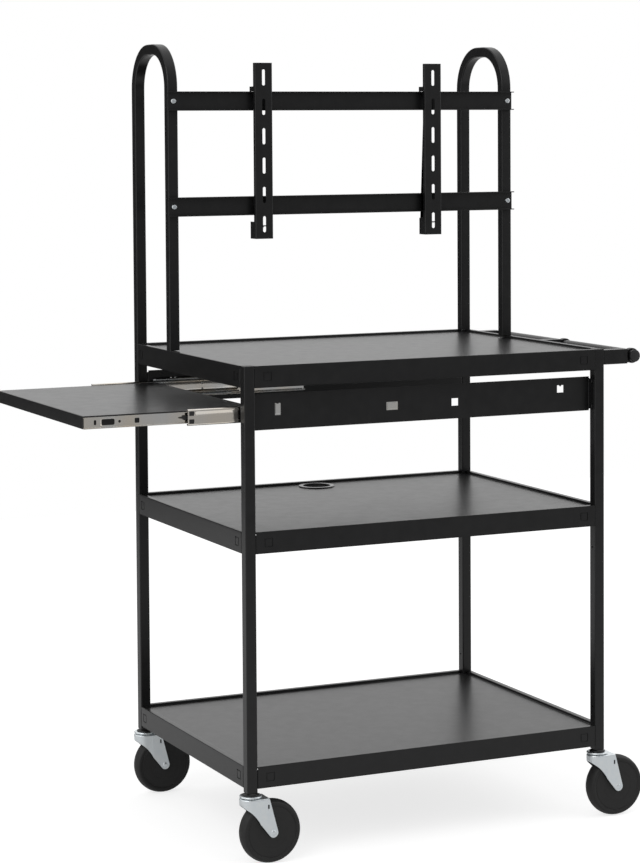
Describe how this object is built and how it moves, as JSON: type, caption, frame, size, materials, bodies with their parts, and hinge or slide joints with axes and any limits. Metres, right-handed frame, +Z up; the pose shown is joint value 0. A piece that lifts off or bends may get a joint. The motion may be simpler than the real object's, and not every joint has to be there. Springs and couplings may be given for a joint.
{
  "type": "tv cart",
  "caption": "Rolling steel television cart with tray shelves on square legs, bent hoops with screen rails, a pull-out tray on ball slides, a push handle and swivel casters.",
  "frame": {"origin": "on the floor under the middle of the cart's overall box, with the tray pulled out to its stops", "axes": "+Z up, -Y towards the front that the long slide panel and the screen face, +X towards the push handle"},
  "size_m": [1.224, 0.632, 1.626],
  "materials": {
    "black_powder_coat": "satin powder coat",
    "bright_zinc": "bright zinc plate",
    "black_plastic": "moulded, fine matt",
    "wheel_rubber": "smooth hard tread"
  },
  "bodies": {
    "cart": {"leg_front_left": "black_powder_coat", "leg_front_right": "black_powder_coat", "leg_rear_left": "black_powder_coat", "leg_rear_right": "black_powder_coat", "leg_cap_left": "black_plastic", "leg_cap_right": "black_plastic", "shelf_top": "black_powder_coat", "shelf_middle": "black_powder_coat", "shelf_bottom": "black_powder_coat", "cable_grommet": "black_plastic", "slide_panel_front": "black_powder_coat", "slide_panel_rear": "black_powder_coat", "slide_front_fixed_member": "bright_zinc", "slide_rear_fixed_member": "bright_zinc", "handle_arm_front": "black_powder_coat", "handle_arm_middle": "black_powder_coat", "handle_arm_rear": "black_powder_coat", "handle_tube": "black_powder_coat", "handle_cap_front": "black_plastic", "handle_cap_rear": "black_plastic", "hoop_left": "black_powder_coat", "hoop_right": "black_powder_coat", "hoop_spigot_left": "bright_zinc", "hoop_spigot_right": "bright_zinc", "screen_rail_upper": "black_powder_coat", "screen_rail_lower": "black_powder_coat", "screen_bracket_left": "black_powder_coat", "screen_bracket_right": "black_powder_coat", "bracket_lock_screw_left": "bright_zinc", "bracket_lock_screw_right": "bright_zinc", "caster_socket_front_left": "black_plastic", "caster_socket_front_right": "black_plastic", "caster_socket_rear_left": "black_plastic", "caster_socket_rear_right": "black_plastic", "caster_cup_front_left": "bright_zinc", "caster_cup_front_right": "bright_zinc", "caster_cup_rear_left": "bright_zinc", "caster_cup_rear_right": "bright_zinc"},
    "slide_middles": {"slide_front_middle_member": "bright_zinc", "slide_rear_middle_member": "bright_zinc", "slide_front_end_stop": "black_plastic", "slide_rear_end_stop": "black_plastic"},
    "pullout": {"pull_out_tray": "black_powder_coat", "slide_front_inner_member": "bright_zinc", "slide_rear_inner_member": "bright_zinc", "slide_front_lever": "black_plastic", "slide_rear_lever": "black_plastic"},
    "outer_cages": {"slide_front_outer_cage": "bright_zinc", "slide_rear_outer_cage": "bright_zinc"},
    "inner_cages": {"slide_front_inner_cage": "bright_zinc", "slide_rear_inner_cage": "bright_zinc"},
    "fork_front_left_body": {"fork_front_left": "bright_zinc"},
    "wheel_front_left_body": {"wheel_front_left": "wheel_rubber"},
    "fork_front_right_body": {"fork_front_right": "bright_zinc"},
    "wheel_front_right_body": {"wheel_front_right": "wheel_rubber"},
    "fork_rear_left_body": {"fork_rear_left": "bright_zinc"},
    "wheel_rear_left_body": {"wheel_rear_left": "wheel_rubber"},
    "fork_rear_right_body": {"fork_rear_right": "bright_zinc"},
    "wheel_rear_right_body": {"wheel_rear_right": "wheel_rubber"}
  },
  "joints": [
    {"name": "slide_first_stage", "type": "slide", "parent": "cart", "child": "slide_middles", "axis": [1, 0, 0], "range_m": [0, 0.143]},
    {"name": "slide_second_stage", "type": "slide", "parent": "slide_middles", "child": "pullout", "axis": [1, 0, 0], "range_m": [0, 0.211]},
    {"name": "outer_cage_travel", "type": "slide", "parent": "cart", "child": "outer_cages", "axis": [1, 0, 0], "range_m": [0, 0.0715]},
    {"name": "inner_cage_travel", "type": "slide", "parent": "slide_middles", "child": "inner_cages", "axis": [1, 0, 0], "range_m": [0, 0.1055]},
    {"name": "swivel_front_left", "type": "hinge", "parent": "cart", "child": "fork_front_left_body", "pos_m": [-0.2821, -0.2937, 0.13], "axis": [0, 0, 1], "continuous": true},
    {"name": "roll_front_left", "type": "hinge", "parent": "fork_front_left_body", "child": "wheel_front_left_body", "pos_m": [-0.2421, -0.2937, 0.0635], "axis": [0, 1, 0], "continuous": true},
    {"name": "swivel_front_right", "type": "hinge", "parent": "cart", "child": "fork_front_right_body", "pos_m": [0.5085, -0.2937, 0.13], "axis": [0, 0, 1], "continuous": true},
    {"name": "roll_front_right", "type": "hinge", "parent": "fork_front_right_body", "child": "wheel_front_right_body", "pos_m": [0.5485, -0.2937, 0.0635], "axis": [0, 1, 0], "continuous": true},
    {"name": "swivel_rear_left", "type": "hinge", "parent": "cart", "child": "fork_rear_left_body", "pos_m": [-0.2821, 0.2937, 0.13], "axis": [0, 0, 1], "continuous": true},
    {"name": "roll_rear_left", "type": "hinge", "parent": "fork_rear_left_body", "child": "wheel_rear_left_body", "pos_m": [-0.2421, 0.2937, 0.0635], "axis": [0, 1, 0], "continuous": true},
    {"name": "swivel_rear_right", "type": "hinge", "parent": "cart", "child": "fork_rear_right_body", "pos_m": [0.5085, 0.2937, 0.13], "axis": [0, 0, 1], "continuous": true},
    {"name": "roll_rear_right", "type": "hinge", "parent": "fork_rear_right_body", "child": "wheel_rear_right_body", "pos_m": [0.5485, 0.2937, 0.0635], "axis": [0, 1, 0], "continuous": true}
  ],
  "couplings": [
    {"joint": "outer_cage_travel", "follows": "slide_first_stage", "ratio": 0.5},
    {"joint": "inner_cage_travel", "follows": "slide_second_stage", "ratio": 0.5}
  ]
}
